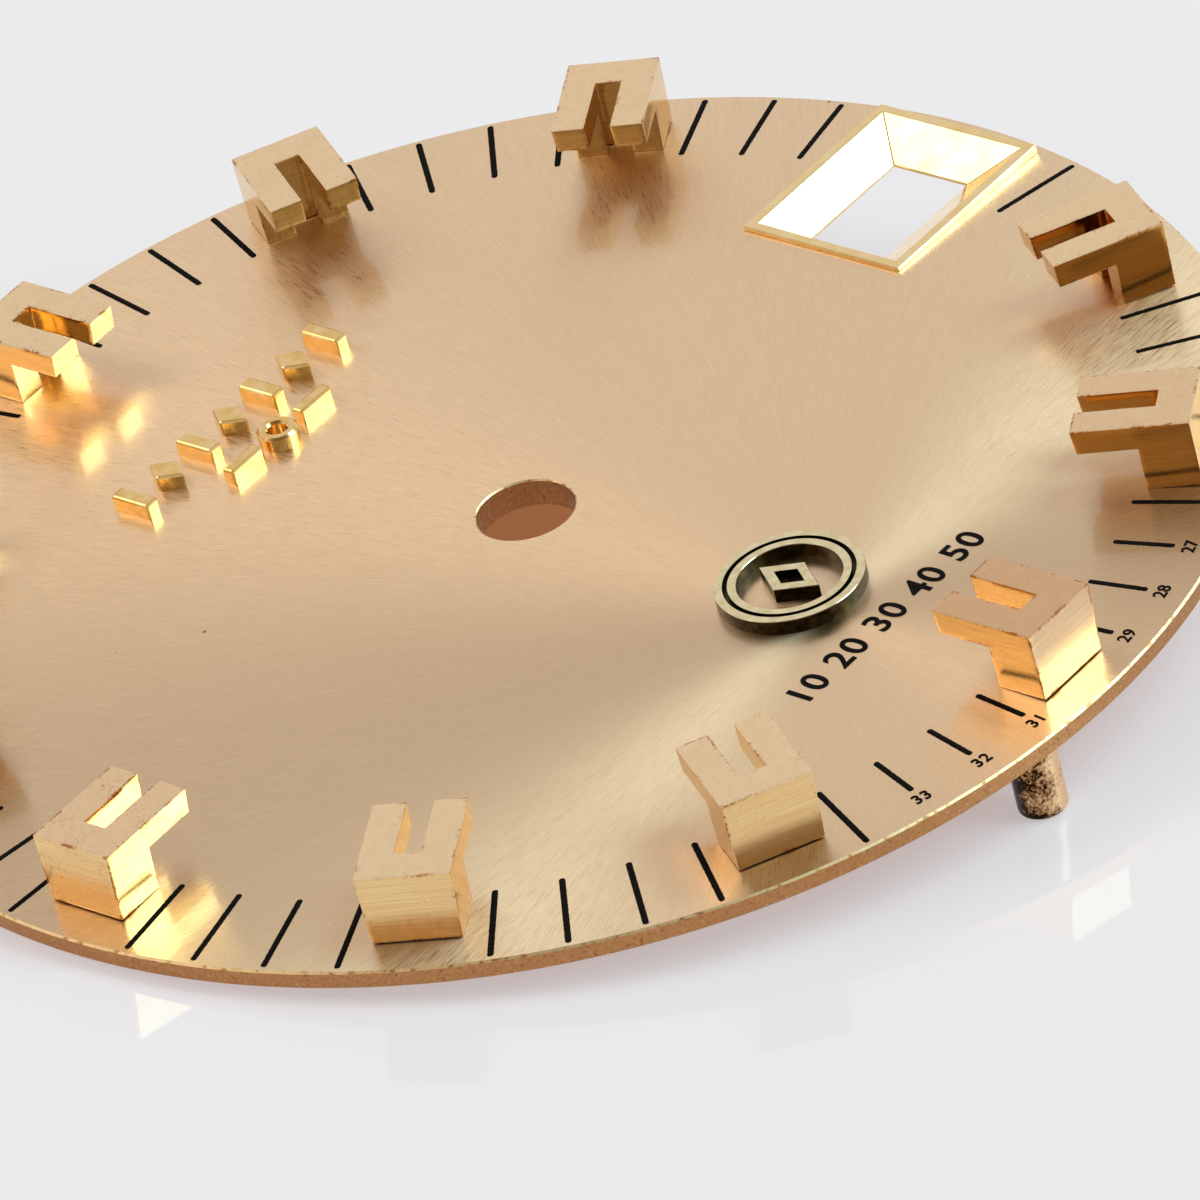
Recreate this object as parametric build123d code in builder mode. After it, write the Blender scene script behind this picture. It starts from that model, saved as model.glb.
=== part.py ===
from build123d import *
import os
from math import cos, radians, sin, sqrt

# A watch dial: a domed round plate with eleven applied fork-shaped hour markers, a bevelled
# date window frame at 3 o'clock, two small applied ornaments, a printed minute track and two
# feet on the back. Lengths are millimetres. The flat back of the plate lies at height zero,
# the centre hole is on the vertical axis, 12 o'clock points to +Y and 3 o'clock to +X.

# Dial plate
dial_radius = 14.5
rim_thickness = 0.38
dome_rise = 0.22
rim_chamfer = 0.04
back_edge_chamfer = 0.03
centre_hole_radius = 1.0
centre_hole_chamfer = 0.03

# Hour markers, measured outwards from the axis and up from the seat
marker_rim_gap = 0.84
marker_length = 2.38
marker_tip_rake = 0.05
marker_foot_length = 1.12
marker_slot_wall = 0.75
marker_slot_width = 0.54
marker_top_width = 1.90
marker_base_width = 1.79
marker_height = 1.505
marker_prong_clearance = 0.97
marker_edge_break = 0.015
marker_pin_radius = 0.14
marker_pin_spacing = 1.0
marker_pin_recess = 0.03
pin_hole_clearance = 0.02

# Date window frame
date_frame_rim_gap = 0.35
date_frame_length = 4.6
date_frame_width = 4.0
date_frame_height = 0.08
date_frame_top_width = 0.2
date_frame_lip = 0.12
date_frame_edge_break = 0.015
date_aperture_length = 2.75
date_aperture_width = 1.9
date_aperture_shift = 0.175
date_aperture_land = 0.06
date_fit_clearance = 0.02

# Printed minute track
tick_rim_gap = 0.14
short_tick_rim_gap = 0.89
tick_inner_rim_gap = 2.15
tick_width = 0.12
ink_thickness = 0.012

# Upper ornament, between the centre and 12 o'clock: a long row and a short one below it
upper_row_centre = 7.65
upper_row_count = 7
upper_row_pitch = 1.0
upper_bar_width = 0.36
upper_bar_length = 0.95
upper_lozenge_width = 0.66
upper_height = 0.34
upper_edge_break = 0.05
upper_ring_centre = 6.4
upper_ring_radius = 0.42
upper_ring_hole_radius = 0.2
upper_side_bar_length = 0.95
upper_side_bar_width = 0.28
upper_side_bar_gap = 0.2

# Lower ornament, between the centre and 6 o'clock
lower_centre = -6.75
lower_ring_radius = 1.5
lower_ring_width = 0.44
lower_ring_groove_width = 0.1
lower_lozenge_width = 1.0
lower_lozenge_length = 1.5
lower_lozenge_band = 0.2
lower_height = 0.28
lower_groove_depth = 0.14
lower_edge_break = 0.012

# Feet on the back, opposite each other. The angle is in degrees, from 3 o'clock to the upper foot.
foot_radius = 0.5
foot_length = 1.41
foot_end_round = 0.1
foot_rim_gap = 0.55
foot_angle = 82.68

# How far a cut runs past what it cuts
overrun = 0.5

# Places worked out from the sizes above
dome_radius = (dial_radius**2 + dome_rise**2) / (2 * dome_rise)
face_edge_radius = dial_radius - rim_chamfer

marker_outer = dial_radius - marker_rim_gap
marker_tip = marker_outer - marker_length
marker_foot_inner = marker_outer - marker_foot_length
marker_slot_end = marker_outer - marker_slot_wall
marker_pin_place = marker_outer - marker_slot_wall / 2

tick_outer = dial_radius - tick_rim_gap
short_tick_outer = dial_radius - short_tick_rim_gap
tick_inner = dial_radius - tick_inner_rim_gap

date_frame_outer = dial_radius - date_frame_rim_gap
date_frame_inner = date_frame_outer - date_frame_length
date_frame_centre = date_frame_outer - date_frame_length / 2
date_aperture_centre = date_frame_centre - date_aperture_shift
date_body_length = date_frame_length - 2 * date_frame_lip
date_body_width = date_frame_width - 2 * date_frame_lip


def face_height(radius):
    """Height of the domed face above the flat back, at a distance from the axis."""
    return rim_thickness + dome_rise - dome_radius + sqrt(dome_radius**2 - radius**2)


def face_arc(outer, inner, lift=0):
    """Arc of the domed face from an outer to an inner distance, raised by a lift."""
    middle = (outer + inner) / 2
    ThreePointArc(
        (outer, face_height(outer) + lift),
        (middle, face_height(middle) + lift),
        (inner, face_height(inner) + lift),
    )


def minute_angle(minute):
    """Angle from 3 o'clock, in degrees, of a place on the minute track."""
    return 90 - 6 * minute


def hour_angle(hour):
    """Angle from 3 o'clock, in degrees, of an hour."""
    return minute_angle(5 * hour)


def marker_hours():
    """Every hour with a marker: 3 o'clock has the date window."""
    return [hour for hour in range(1, 13) if hour != 3]


def is_short(minute):
    """True for the three ticks on each side of 6 o'clock, which leave room for small numbers."""
    return 0 < abs(minute - 30) < 4


marker_seat = face_height(marker_foot_inner)
marker_top = marker_seat + marker_height
date_frame_top = face_height(date_frame_inner) + date_frame_height


# The room under the domed face, taken away from all that is seated on it
with BuildPart() as face_form:
    with BuildSketch(Plane.XZ):
        with BuildLine():
            Polyline((0, face_height(0)), (0, 0), (dial_radius, 0), (dial_radius, rim_thickness))
            face_arc(dial_radius, 0)
        make_face()
    revolve(axis=Axis.Z)


# Dial plate with its centre hole, date window and holes for the marker pins
with BuildPart() as dial_plate:
    with BuildSketch(Plane.XZ):
        with BuildLine():
            Polyline(
                (centre_hole_radius + centre_hole_chamfer, face_height(centre_hole_radius + centre_hole_chamfer)),
                (centre_hole_radius, face_height(centre_hole_radius) - centre_hole_chamfer),
                (centre_hole_radius, 0),
                (dial_radius - back_edge_chamfer, 0),
                (dial_radius, back_edge_chamfer),
                (dial_radius, rim_thickness - rim_chamfer),
                (face_edge_radius, face_height(face_edge_radius)),
            )
            face_arc(face_edge_radius, centre_hole_radius + centre_hole_chamfer)
        make_face()
    revolve(axis=Axis.Z)
    with BuildSketch(Plane.XY.offset(-overrun)):
        with Locations((date_frame_centre, 0)):
            Rectangle(date_body_length + 2 * date_fit_clearance, date_body_width + 2 * date_fit_clearance)
        for hour in marker_hours():
            with PolarLocations(0, 1, start_angle=hour_angle(hour)):
                with Locations(
                    (marker_pin_place, marker_pin_spacing / 2), (marker_pin_place, -marker_pin_spacing / 2)
                ):
                    Circle(marker_pin_radius + pin_hole_clearance)
    extrude(amount=face_height(0) + 2 * overrun, mode=Mode.SUBTRACT)


# One hour marker, pointing along +X: a foot at the rim and two prongs held clear of the face
with BuildPart() as marker_form:
    with BuildSketch(Plane.YZ.offset(marker_tip - overrun)):
        with BuildLine():
            Polyline(
                (-marker_base_width / 2, marker_seat),
                (marker_base_width / 2, marker_seat),
                (marker_top_width / 2, marker_top),
                (-marker_top_width / 2, marker_top),
                close=True,
            )
        make_face()
    extrude(amount=marker_length + 2 * overrun)
    with BuildSketch(Plane.XZ):
        with BuildLine():
            Polyline(
                (marker_outer, marker_seat),
                (marker_outer, marker_top),
                (marker_tip, marker_top),
                (marker_tip + marker_tip_rake, marker_seat + marker_prong_clearance),
                (marker_foot_inner, marker_seat + marker_prong_clearance),
                (marker_foot_inner, marker_seat),
                close=True,
            )
        make_face()
    extrude(amount=marker_top_width, both=True, mode=Mode.INTERSECT)
    with BuildSketch(Plane.XY.offset(marker_seat - overrun)):
        with Locations(((marker_tip - overrun + marker_slot_end) / 2, 0)):
            Rectangle(marker_slot_end - marker_tip + overrun, marker_slot_width)
    extrude(amount=marker_height + 2 * overrun, mode=Mode.SUBTRACT)
    chamfer(marker_form.edges().group_by(Axis.Z)[-1], marker_edge_break)
    with BuildSketch(Plane.XY.offset(marker_pin_recess)):
        with Locations((marker_pin_place, marker_pin_spacing / 2), (marker_pin_place, -marker_pin_spacing / 2)):
            Circle(marker_pin_radius)
    extrude(amount=marker_seat - marker_pin_recess)

for hour in marker_hours():
    with BuildPart() as hour_marker:
        add(marker_form.part, rotation=(0, 0, hour_angle(hour)))
    hour_marker.part.label = f"hour_marker_{hour:02d}"
    export_step(hour_marker.part, f"parts/hour_marker_{hour:02d}.step")


# Date window frame: a flat rim on the face, a body in the plate's window and four wide bevels
with BuildPart() as date_window_frame:
    with BuildSketch(Plane.XY):
        with Locations((date_frame_centre, 0)):
            Rectangle(date_frame_length, date_frame_width)
    extrude(amount=date_frame_top)
    chamfer(date_window_frame.edges().group_by(Axis.Z)[-1], date_frame_edge_break)
    add(face_form.part, mode=Mode.SUBTRACT)
    with BuildSketch(Plane.XY):
        with Locations((date_frame_centre, 0)):
            Rectangle(date_body_length, date_body_width)
    extrude(amount=date_frame_top - date_frame_edge_break)
    with BuildSketch(Plane.XY.offset(-overrun)):
        with Locations((date_aperture_centre, 0)):
            Rectangle(date_aperture_length, date_aperture_width)
    extrude(amount=date_frame_top + overrun, mode=Mode.SUBTRACT)
    with BuildSketch(Plane.XY.offset(date_aperture_land)):
        with Locations((date_aperture_centre, 0)):
            Rectangle(date_aperture_length, date_aperture_width)
    with BuildSketch(Plane.XY.offset(date_frame_top)):
        with Locations((date_frame_centre, 0)):
            Rectangle(
                date_frame_length - 2 * date_frame_top_width, date_frame_width - 2 * date_frame_top_width
            )
    loft(mode=Mode.SUBTRACT)


def tick_minutes():
    """Minutes that have a tick: none under an hour marker or under the date frame."""
    minutes = []
    for minute in range(60):
        angle = radians(minute_angle(minute))
        beside_date = cos(angle) > 0 and abs(sin(angle)) * tick_inner < date_frame_width / 2 + tick_width
        if minute % 5 and not beside_date:
            minutes.append(minute)
    return minutes


# Printed minute track: one thin film of ink for each tick, on the curve of the face
with BuildPart() as ink_form:
    with BuildSketch(Plane.XZ):
        with BuildLine():
            face_arc(face_edge_radius, tick_inner - tick_width)
            Line(
                (tick_inner - tick_width, face_height(tick_inner - tick_width)),
                (tick_inner - tick_width, face_height(tick_inner - tick_width) + ink_thickness),
            )
            face_arc(tick_inner - tick_width, face_edge_radius, ink_thickness)
            Line(
                (face_edge_radius, face_height(face_edge_radius) + ink_thickness),
                (face_edge_radius, face_height(face_edge_radius)),
            )
        make_face()
    revolve(axis=Axis.Z)

with BuildPart() as minute_track_print:
    with BuildSketch(Plane.XY):
        for minute in tick_minutes():
            tick_end = short_tick_outer if is_short(minute) else tick_outer
            with PolarLocations(0, 1, start_angle=minute_angle(minute)):
                with Locations(((tick_inner + tick_end) / 2, 0)):
                    SlotOverall(tick_end - tick_inner, tick_width)
    extrude(amount=face_height(0) + overrun)
    add(ink_form.part, mode=Mode.INTERSECT)


# Upper ornament: a row of upright bars and lozenges above a small ring between two side bars
upper_top = face_height(upper_row_centre) + upper_height


def upper_place(index):
    """Distance of a piece of the row from the 12 o'clock line."""
    return (index - (upper_row_count - 1) / 2) * upper_row_pitch


for index in range(upper_row_count):
    with BuildPart() as upper_piece:
        with BuildSketch(Plane.XY.offset(rim_thickness)):
            with Locations((upper_place(index), upper_row_centre)):
                if index % 2:
                    Polygon(
                        (upper_lozenge_width / 2, 0),
                        (0, upper_bar_length / 2),
                        (-upper_lozenge_width / 2, 0),
                        (0, -upper_bar_length / 2),
                    )
                else:
                    Rectangle(upper_bar_width, upper_bar_length)
        extrude(amount=upper_top - rim_thickness)
        chamfer(upper_piece.edges().group_by(Axis.Z)[-1], upper_edge_break)
        add(face_form.part, mode=Mode.SUBTRACT)
    upper_piece.part.label = f"upper_ornament_{index + 1}"
    export_step(upper_piece.part, f"parts/upper_ornament_{index + 1}.step")

with BuildPart() as upper_ornament_ring:
    with BuildSketch(Plane.XY.offset(rim_thickness)):
        with Locations((0, upper_ring_centre)):
            Circle(upper_ring_radius)
            Circle(upper_ring_hole_radius, mode=Mode.SUBTRACT)
    extrude(amount=upper_top - rim_thickness)
    chamfer(upper_ornament_ring.edges().group_by(Axis.Z)[-1], upper_edge_break)
    add(face_form.part, mode=Mode.SUBTRACT)

upper_side_place = upper_ring_radius + upper_side_bar_gap + upper_side_bar_length / 2

for name, side in (("left", -1), ("right", 1)):
    with BuildPart() as upper_side_bar:
        with BuildSketch(Plane.XY.offset(rim_thickness)):
            with Locations((side * upper_side_place, upper_ring_centre)):
                Rectangle(upper_side_bar_length, upper_side_bar_width)
        extrude(amount=upper_top - rim_thickness)
        chamfer(upper_side_bar.edges().group_by(Axis.Z)[-1], upper_edge_break)
        add(face_form.part, mode=Mode.SUBTRACT)
    upper_side_bar.part.label = f"upper_ornament_{name}"
    export_step(upper_side_bar.part, f"parts/upper_ornament_{name}.step")


# Lower ornament: a ring with a round groove, and a lozenge with a groove that follows its sides
lower_top = face_height(-lower_centre - lower_ring_radius) + lower_height


def lower_lozenge(inset):
    """Lozenge outline of the lower ornament, drawn in on every side."""
    half_width = lower_lozenge_width / 2
    half_length = lower_lozenge_length / 2
    slope = sqrt(half_width**2 + half_length**2)
    width_left = half_width - inset * slope / half_length
    length_left = half_length - inset * slope / half_width
    Polygon((width_left, 0), (0, length_left), (-width_left, 0), (0, -length_left))


with BuildPart() as lower_ornament_ring:
    with BuildSketch(Plane.XY.offset(rim_thickness)):
        with Locations((0, lower_centre)):
            Circle(lower_ring_radius)
            Circle(lower_ring_radius - lower_ring_width, mode=Mode.SUBTRACT)
    extrude(amount=lower_top - rim_thickness)
    chamfer(lower_ornament_ring.edges().group_by(Axis.Z)[-1], lower_edge_break)
    with BuildSketch(Plane.XY.offset(lower_top - lower_groove_depth)):
        with Locations((0, lower_centre)):
            Circle(lower_ring_radius - (lower_ring_width - lower_ring_groove_width) / 2)
            Circle(lower_ring_radius - (lower_ring_width + lower_ring_groove_width) / 2, mode=Mode.SUBTRACT)
    extrude(amount=lower_groove_depth + overrun, mode=Mode.SUBTRACT)
    add(face_form.part, mode=Mode.SUBTRACT)

with BuildPart() as lower_ornament_lozenge:
    with BuildSketch(Plane.XY.offset(rim_thickness)):
        with Locations((0, lower_centre)):
            lower_lozenge(0)
    extrude(amount=lower_top - rim_thickness)
    chamfer(lower_ornament_lozenge.edges().group_by(Axis.Z)[-1], lower_edge_break)
    with BuildSketch(Plane.XY.offset(lower_top - lower_groove_depth)):
        with Locations((0, lower_centre)):
            lower_lozenge(lower_lozenge_band)
    extrude(amount=lower_groove_depth + overrun, mode=Mode.SUBTRACT)
    add(face_form.part, mode=Mode.SUBTRACT)


# Feet: round pins soldered to the back, rounded at the end that enters the movement
foot_place = dial_radius - foot_rim_gap

for name, side in (("upper", 1), ("lower", -1)):
    with BuildPart() as dial_foot:
        with BuildSketch(Plane.XY):
            with PolarLocations(0, 1, start_angle=foot_angle):
                with Locations((side * foot_place, 0)):
                    Circle(foot_radius)
        extrude(amount=-foot_length)
        fillet(dial_foot.edges().group_by(Axis.Z)[0], foot_end_round)
    dial_foot.part.label = f"dial_foot_{name}"
    export_step(dial_foot.part, f"parts/dial_foot_{name}.step")

dial_plate.part.label = "dial_plate"
date_window_frame.part.label = "date_window_frame"
minute_track_print.part.label = "minute_track_print"
upper_ornament_ring.part.label = "upper_ornament_ring"
lower_ornament_ring.part.label = "lower_ornament_ring"
lower_ornament_lozenge.part.label = "lower_ornament_lozenge"

export_step(dial_plate.part, "parts/dial_plate.step")
export_step(date_window_frame.part, "parts/date_window_frame.step")
export_step(minute_track_print.part, "parts/minute_track_print.step")
export_step(upper_ornament_ring.part, "parts/upper_ornament_ring.step")
export_step(lower_ornament_ring.part, "parts/lower_ornament_ring.step")
export_step(lower_ornament_lozenge.part, "parts/lower_ornament_lozenge.step")
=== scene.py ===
# %% [markdown]
# # A brushed watch dial
# A watch dial is a thin round plate that carries the hour markers, a window for the date and a
# printed minute track. The mechanical model comes packed as a fixed frame, so every piece here is
# built at the place and size that the frame gives. The frame is in metres, with the flat back of
# the plate at height zero, 12 o'clock along +Y and 3 o'clock along +X.

# %% Load the frame and note its box
import bmesh
import bpy
from itertools import product
from math import ceil, cos, degrees, hypot, pi, radians, sin, sqrt
from mathutils import Matrix, Vector, noise


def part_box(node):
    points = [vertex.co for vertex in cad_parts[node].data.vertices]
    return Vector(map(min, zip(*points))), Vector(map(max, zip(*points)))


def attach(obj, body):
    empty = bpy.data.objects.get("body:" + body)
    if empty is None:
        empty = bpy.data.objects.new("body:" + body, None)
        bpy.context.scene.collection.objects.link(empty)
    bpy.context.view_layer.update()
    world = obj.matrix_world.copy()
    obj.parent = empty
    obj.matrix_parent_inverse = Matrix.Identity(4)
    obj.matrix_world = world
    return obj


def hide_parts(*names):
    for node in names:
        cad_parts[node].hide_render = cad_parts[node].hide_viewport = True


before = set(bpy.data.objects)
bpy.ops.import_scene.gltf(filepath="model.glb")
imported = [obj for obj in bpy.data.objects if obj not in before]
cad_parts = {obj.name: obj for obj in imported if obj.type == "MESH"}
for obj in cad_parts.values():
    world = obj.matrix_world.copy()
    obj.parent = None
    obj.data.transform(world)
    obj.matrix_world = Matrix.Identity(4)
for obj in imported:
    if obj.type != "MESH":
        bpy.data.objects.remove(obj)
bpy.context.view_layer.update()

mm = 0.001

# %% [markdown]
# Watchmakers think in millimetres and Blender in metres, so lengths below are written as a number
# times `mm`. Colours are written as the hex values that a paint program shows. Blender's shaders
# want linear light, so one function turns the first into the second.


# %% Colour helper
def linear(hex_colour):
    """Linear RGBA of an sRGB hex colour."""
    values = [int(hex_colour[i : i + 2], 16) / 255 for i in (0, 2, 4)]
    return [v / 12.92 if v <= 0.04045 else ((v + 0.055) / 1.055) ** 2.4 for v in values] + [1.0]


print("champagne gold is", [round(v, 3) for v in linear("D2B48C")[:3]], "in linear light")

# %% [markdown]
# The plate is not flat. Its face is a very shallow dome, a part of a huge ball, which makes the
# light on it change slowly from rim to rim. Everything that sits on the face needs the height of
# the dome below it. That height could be measured on a mesh with rays. A formula is used here,
# because it is exact and works before anything is built. The sizes come from the plate's box in the
# frame.

# %% The plate's main sizes
low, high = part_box("dial_plate")
dial_radius = high[0]
rim_thickness = 0.38 * mm
dome_rise = 0.22 * mm
hole_radius = 1.0 * mm
ball_radius = (dial_radius**2 + dome_rise**2) / (2 * dome_rise)


def face_height(x, y=0):
    """Height of the domed face at a place on the dial."""
    return rim_thickness + dome_rise - ball_radius + sqrt(ball_radius**2 - x**2 - y**2)


print("the face rises", round((face_height(0) - face_height(dial_radius)) / mm, 3), "mm")

# %% [markdown]
# The picture is taken from close by with a long lens, from between 7 and 8 o'clock, with the camera
# rolled to its left. A camera could be aimed at an empty with a constraint. Here its three axes are
# worked out from direction and roll, because that gives the same picture on every run and says
# plainly where the viewer stands. The long lens keeps the markers' sides almost parallel.

# %% Camera
azimuth = radians(-43.16)
elevation = radians(33.90)
roll = radians(-14.46)
middle_of_picture = Vector((-1.614 * mm, -3.138 * mm, rim_thickness))
distance = 299.3 * mm
sensor = 36
focal_length = 463.24

back = Vector((sin(azimuth) * cos(elevation), -cos(azimuth) * cos(elevation), sin(elevation)))
level_right = Vector((cos(azimuth), sin(azimuth), 0))
level_up = back.cross(level_right)
right = cos(roll) * level_right + sin(roll) * level_up
up = cos(roll) * level_up - sin(roll) * level_right


def put_in_scene(name, data, position=None, axes=None):
    """Put data in the scene as an object, at a position and with its own axes as given."""
    thing = bpy.data.objects.new(name, data)
    if axes:
        thing.matrix_world = Matrix.Translation(position) @ Matrix(axes).transposed().to_4x4()
    bpy.context.collection.objects.link(thing)
    return thing


camera_data = bpy.data.cameras.new("camera")
camera_data.sensor_width = sensor
camera_data.lens = focal_length
camera_data.clip_start = 10 * mm
camera_data.clip_end = 10
camera = put_in_scene("camera", camera_data, middle_of_picture + back * distance, (right, up, back))
bpy.context.scene.camera = camera
print("camera", [round(v / mm, 1) for v in camera.location], "mm")

# %% [markdown]
# Materials are built from shader nodes. They could be clicked together by hand. In a script, one
# small function adds any node with its options, its sockets and, for a colour ramp, its stops.
# Another one starts a material with its surface shader. Later cells add functions for what several
# finishes share, so that each finish is only a few lines.


# %% Node helpers
def set_sockets(node, sockets):
    """Give sockets a value or an output of another node. A node stands for its first output."""
    for name, value in sockets.items():
        if isinstance(value, bpy.types.Node):
            value = value.outputs[0]
        if isinstance(value, bpy.types.NodeSocket):
            node.id_data.links.new(value, node.inputs[name])
        else:
            node.inputs[name].default_value = value


def add_node(tree, kind, sockets=None, stops=(), **settings):
    """Add a node with its sockets, the (place, colour) stops of a colour ramp and its settings."""
    node = tree.nodes.new(kind)
    for name, value in settings.items():
        setattr(node, name, value)
    set_sockets(node, sockets or {})
    for number, (place, colour) in enumerate(stops):
        elements = node.color_ramp.elements
        element = elements[number] if number < len(elements) else elements.new(1)
        element.position, element.color = place, colour
    return node


def start_material(name, **surface):
    """A material with one Principled surface, its constants by name, and the place on the piece."""
    material = bpy.data.materials.new(name)
    material.use_nodes = True
    tree = material.node_tree
    tree.nodes.clear()
    sockets = {key.replace("_", " "): value for key, value in surface.items()}
    shader = add_node(tree, "ShaderNodeBsdfPrincipled", sockets)
    add_node(tree, "ShaderNodeOutputMaterial", {"Surface": shader})
    place = add_node(tree, "ShaderNodeTexCoord").outputs["Object"]
    return material, tree, shader, place


print("node helpers ready")

# %% [markdown]
# The dial lies on a glossy white board, as on a photographer's table. It has two feet under it,
# opposite each other, so it rests on them and on one point of its rim, and the board is tilted
# against the dial. The board could be drawn by eye. Its plane is worked out from the length and the
# place of the feet instead, so that the feet really stand on it. A white board lit only by lamps
# goes grey in a corner or glares in another, so it also has a faint light of its own for the eye
# and for mirrors. It stays dim and coppery right under the dial, where the turned back shades it.
# Seen from below the board is clear, so that the dial's back can be looked at.

# %% Board under the dial
foot_low, foot_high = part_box("dial_foot_upper")
foot_length = -foot_low[2]
foot_x = (foot_low[0] + foot_high[0]) / 2
foot_y = (foot_low[1] + foot_high[1]) / 2
feet_line = Vector((foot_x, foot_y, 0)).normalized()
to_rim = Vector((-feet_line.y, feet_line.x, 0))
rest_point = to_rim * dial_radius
board_slope = (rest_point - Vector((0, 0, -foot_length))).normalized()
board_up = feet_line.cross(board_slope)
board_up = board_up if board_up.z > 0 else -board_up
board_gap = 0.03 * mm
board_size = 500 * mm

board_mesh = bpy.data.meshes.new("board")
square = [(-1, -1), (1, -1), (1, 1), (-1, 1)]
centre = Vector((0, 0, -foot_length)) - board_up * board_gap
board_side = board_up.cross(feet_line)
board_mesh.from_pydata(
    [centre + (feet_line * a + board_side * b) * board_size / 2 for a, b in square],
    [],
    [(0, 1, 2, 3)],
)
put_in_scene("board", board_mesh)

# White acrylic sheet: pale and even, with faint mirror images of what stands on it.
board_material, tree, shader, place = start_material(
    "glossy white board", Base_Color=linear("989390"), Roughness=0.05, IOR=1.3
)
full_shade_radius = 6 * mm
no_shade_radius = dial_radius + 1 * mm
pale_in_mirrors = 0.6
from_middle = add_node(tree, "ShaderNodeVectorMath", {0: place}, operation="LENGTH")
sockets = {
    "Value": from_middle.outputs["Value"],
    "From Min": full_shade_radius,
    "From Max": no_shade_radius,
}
open_board = add_node(tree, "ShaderNodeMapRange", sockets, interpolation_type="SMOOTHSTEP")
rays = add_node(tree, "ShaderNodeLightPath").outputs
sockets = {0: rays["Is Glossy Ray"], 1: pale_in_mirrors, 2: open_board}
pale_share = add_node(tree, "ShaderNodeMath", sockets, operation="MULTIPLY_ADD", use_clamp=True)
# Under the dial the board's own light is painted shade: dim and coppery, a painted contact shadow
# with painted light thrown down by the copper back.
sockets = {"Factor": pale_share, 6: linear("885532"), 7: linear("B7B3B5")}
board_glow_and_painted_shade = add_node(tree, "ShaderNodeMix", sockets, data_type="RGBA")
seen = rays["Is Camera Ray"]
for kind_of_ray in ("Is Glossy Ray", "Is Transmission Ray"):
    seen = add_node(tree, "ShaderNodeMath", {0: seen, 1: rays[kind_of_ray]}, operation="MAXIMUM")
set_sockets(shader, {"Emission Color": board_glow_and_painted_shade.outputs[2], "Emission Strength": seen})
sockets = {
    0: add_node(tree, "ShaderNodeNewGeometry").outputs["Backfacing"],
    1: shader,
    2: add_node(tree, "ShaderNodeBsdfTransparent"),
}
one_sided = add_node(tree, "ShaderNodeMixShader", sockets)
set_sockets(tree.nodes["Material Output"], {"Surface": one_sided})
board_mesh.materials.append(board_material)
print("the board is tilted", round(degrees(board_up.angle(Vector((0, 0, 1)))), 2), "degrees")

# %% [markdown]
# Brushed metal needs large soft lamps: a bare bulb would draw a hard streak. A tall soft box stands
# to the right. It draws the bright fans on the face where the brush lines run square to the way
# between lamp and viewer, and it is thrown back by the markers' polished sides as small patches of
# light. A second one stands behind on the left, and a low weak one on the left lights the feet of
# the markers. A picture of a studio could light the scene too, but plain lamps can be moved and
# named. The room around is pale and darker towards the viewer and overhead, which gives the gold
# something dark to mirror.

# %% Lamps
lamp_distance = 900 * mm


def soft_box(name, direction, long_way, sides_mm, brightness, colour):
    """Rectangular lamp that looks at the dial. Brightness 1 makes it like a lit white wall."""
    lamp = bpy.data.lights.new(name, "AREA")
    lamp.shape = "RECTANGLE"
    lamp.size, lamp.size_y = sides_mm[0] * mm, sides_mm[1] * mm
    lamp.energy = brightness * pi * lamp.size * lamp.size_y
    lamp.color = linear(colour)[:3]
    out = Vector(direction).normalized()
    along = Vector(long_way)
    along = (along - out * along.dot(out)).normalized()
    put_in_scene(name, lamp, out * lamp_distance, (along, out.cross(along), out))


# Name, direction, long way, sides in mm, brightness and colour of each lamp.
for lamp in (
    ("soft box right", (0.535, -0.58, 0.60), (0.05, 0.36, 0.16), (980, 400), 9.2, "C0E4F6"),
    ("soft box left", (-0.22, 0.62, 0.75), (1, 0, 0.2), (460, 460), 2.6, "FFF6EE"),
    ("low soft box left", (-0.77, 0.28, 0.5), (0, 1, 0), (600, 360), 1.35, "FFF2E4"),
):
    soft_box(*lamp)
print("three soft boxes")


# %% Room
def grey(level):
    """A grey of a given level, for masks."""
    return (level, level, level, 1)


world = bpy.data.worlds.new("pale room")
bpy.context.scene.world = world
world.use_nodes = True
tree = world.node_tree
tree.nodes.clear()
way = add_node(tree, "ShaderNodeTexCoord").outputs["Generated"]
facing = add_node(tree, "ShaderNodeVectorMath", {0: way, 1: back}, operation="DOT_PRODUCT")
sockets = {0: facing.outputs["Value"], 1: 0.5, 2: 0.5}
share = add_node(tree, "ShaderNodeMath", sockets, operation="MULTIPLY_ADD")
# From behind the dial (0) to behind the camera (1): a pale wall that turns warm and dark.
stops = [(0.0, grey(0.85)), (0.3, grey(0.8)), (0.5, grey(0.6)), (0.72, (0.44, 0.41, 0.36, 1))]
stops += [(0.87, (0.26, 0.2, 0.14, 1)), (1.0, (0.15, 0.11, 0.07, 1))]
room = add_node(tree, "ShaderNodeValToRGB", {"Fac": share}, stops)
# From level (0) to overhead (1): walls that fade out upwards.
height = add_node(tree, "ShaderNodeSeparateXYZ", {"Vector": way}).outputs["Z"]
stops = [(0.0, grey(0.75)), (0.3, grey(0.6)), (0.5, grey(0.0))]
walls = add_node(tree, "ShaderNodeValToRGB", {"Fac": height}, stops)
sockets = {"Factor": 1.0, 6: room, 7: walls}
lighter = add_node(tree, "ShaderNodeMix", sockets, data_type="RGBA", blend_type="LIGHTEN")
backdrop = add_node(tree, "ShaderNodeBackground", {"Color": lighter.outputs[2]})
add_node(tree, "ShaderNodeOutputWorld", {"Surface": backdrop})
bpy.context.scene.view_settings.view_transform = "Standard"
print("a pale room")

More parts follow.
